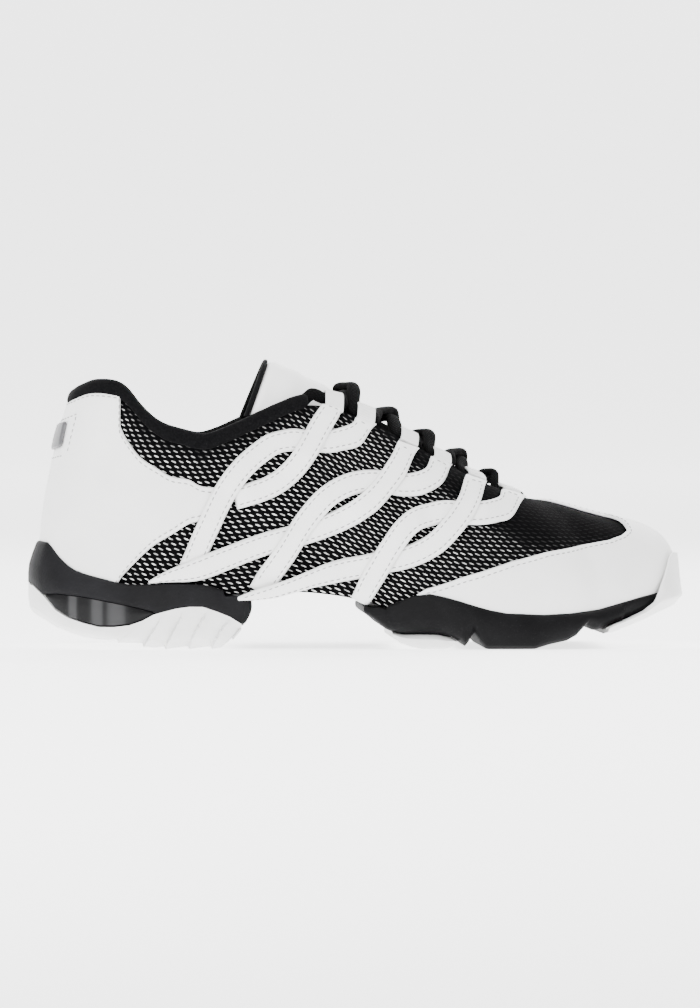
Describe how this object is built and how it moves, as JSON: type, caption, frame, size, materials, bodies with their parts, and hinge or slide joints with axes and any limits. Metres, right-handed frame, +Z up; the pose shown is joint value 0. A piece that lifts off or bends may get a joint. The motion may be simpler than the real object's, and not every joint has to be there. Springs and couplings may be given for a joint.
{
  "type": "dance sneaker",
  "caption": "Low dance sneaker with a hollow mesh upper, crossing side straps, laced throat, high padded tongue and a sole split at the arch.",
  "frame": {"origin": "bottom centre of the box round the shoe, on the floor", "axes": "+X to the toe, -Y the outer side of a right shoe, +Z up"},
  "size_m": [0.2708, 0.0935, 0.1182],
  "materials": {
    "mesh_fabric": "knitted mesh",
    "lining": "brushed knit",
    "white_synthetic": "fine grain, satin",
    "webbing": "woven tape",
    "lace_cord": "braided",
    "foam": "matte moulded",
    "smoked_window": "smoked, clear",
    "white_rubber": "satin moulded",
    "grey_patch": "satin, plain"
  },
  "bodies": {
    "root": {"upper": "mesh_fabric", "insole": "lining", "collar": "lining", "heel_counter": "white_synthetic", "toe_cap": "white_synthetic", "strap_lateral_1a": "white_synthetic", "strap_lateral_1b": "white_synthetic", "strap_lateral_2a": "white_synthetic", "strap_lateral_2b": "white_synthetic", "strap_lateral_3a": "white_synthetic", "strap_lateral_3b": "white_synthetic", "strap_medial_1a": "white_synthetic", "strap_medial_1b": "white_synthetic", "strap_medial_2a": "white_synthetic", "strap_medial_2b": "white_synthetic", "strap_medial_3a": "white_synthetic", "strap_medial_3b": "white_synthetic", "loop_lateral_1": "webbing", "loop_lateral_2": "webbing", "loop_lateral_3": "webbing", "loop_lateral_4": "webbing", "loop_lateral_5": "webbing", "loop_lateral_6": "webbing", "loop_medial_1": "webbing", "loop_medial_2": "webbing", "loop_medial_3": "webbing", "loop_medial_4": "webbing", "loop_medial_5": "webbing", "loop_medial_6": "webbing", "tongue": "white_synthetic", "tongue_binding": "lining", "lace": "lace_cord", "heel_midsole": "foam", "forefoot_midsole": "foam", "heel_window_lateral": "smoked_window", "heel_window_medial": "smoked_window", "heel_outsole": "white_rubber", "forefoot_pod": "white_rubber", "toe_bumper": "white_rubber", "heel_badge": "grey_patch"}
  },
  "joints": []
}
